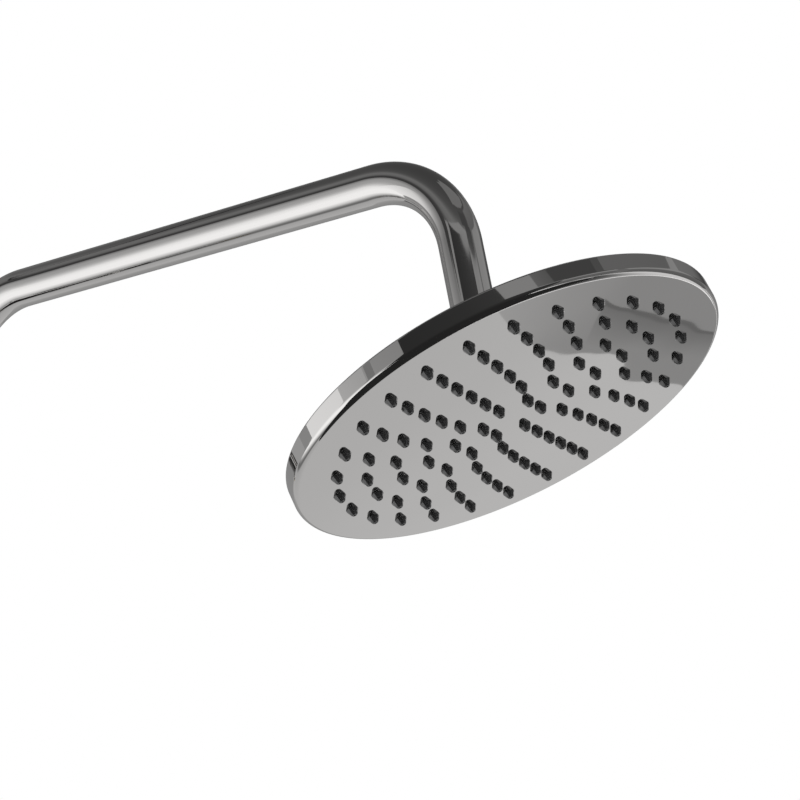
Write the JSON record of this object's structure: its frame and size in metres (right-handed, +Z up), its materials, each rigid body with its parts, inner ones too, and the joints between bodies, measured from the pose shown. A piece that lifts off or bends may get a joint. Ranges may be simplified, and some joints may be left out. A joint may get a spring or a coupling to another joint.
{
  "type": "overhead shower",
  "caption": "Overhead shower with a flat round rain head on a ball joint, hung from a bent riser arm that a wall bracket holds.",
  "frame": {"origin": "on the wall, in the middle of the bracket's wall plate", "axes": "+Y into the wall, +Z up along the riser, the arm reaches out along -Y"},
  "size_m": [0.1996, 0.5095, 0.277],
  "materials": {
    "arm_chrome": "bright chrome plate on a drawn tube",
    "head_chrome": "mirror chrome plate",
    "cover_chrome": "mirror chrome plate",
    "fitting_chrome": "chrome plate on turned brass",
    "bracket_chrome": "chrome plate",
    "turned_brass": "turned, uncoated",
    "cast_zinc": "cast, blasted grey",
    "screw_steel": "plain stainless",
    "seal_rubber": "black moulded rubber",
    "nozzle_silicone": "dark grey silicone, satin",
    "white_plastic": "moulded acetal",
    "grey_plastic": "moulded plastic"
  },
  "bodies": {
    "arm": {"riser_arm": "arm_chrome", "riser_spigot": "turned_brass", "spigot_rings": "seal_rubber", "wall_plate": "cast_zinc", "bracket_post": "bracket_chrome", "post_set_screw": "screw_steel", "ring_set_screw": "screw_steel", "riser_ring": "bracket_chrome", "clamp_bush": "white_plastic", "head_nipple": "turned_brass", "swivel_ball": "fitting_chrome", "flow_restrictor": "white_plastic", "strainer_washer": "seal_rubber"},
    "rose": {"cover_rose": "bracket_chrome", "rose_ring": "seal_rubber"},
    "seat": {"ball_seat": "white_plastic"},
    "carrier": {"seat_carrier": "grey_plastic"},
    "head": {"union_nut": "fitting_chrome", "ball_liner": "white_plastic", "inlet_boss": "turned_brass", "boss_seal": "seal_rubber", "back_cover": "cover_chrome", "rim_gasket": "seal_rubber", "mat_clamp_ring": "grey_plastic", "nozzle_mat": "nozzle_silicone", "face_shell": "head_chrome"}
  },
  "joints": [
    {"name": "rose_slide", "type": "slide", "parent": "arm", "child": "rose", "axis": [0, -1, 0], "range_m": [0, 0.03]},
    {"name": "head_swivel", "type": "hinge", "parent": "arm", "child": "seat", "pos_m": [0, -0.40838, 0.05186], "axis": [0, 0.2062, 0.9785], "continuous": true},
    {"name": "head_tilt", "type": "hinge", "parent": "seat", "child": "carrier", "pos_m": [0, -0.40838, 0.05186], "axis": [-0.9018, -0.4228, 0.0891], "range_deg": [-34.4, 5.6]},
    {"name": "head_spin", "type": "hinge", "parent": "carrier", "child": "head", "pos_m": [0, -0.40838, 0.05186], "axis": [-0.1075, 0.4192, 0.9015], "continuous": true}
  ]
}
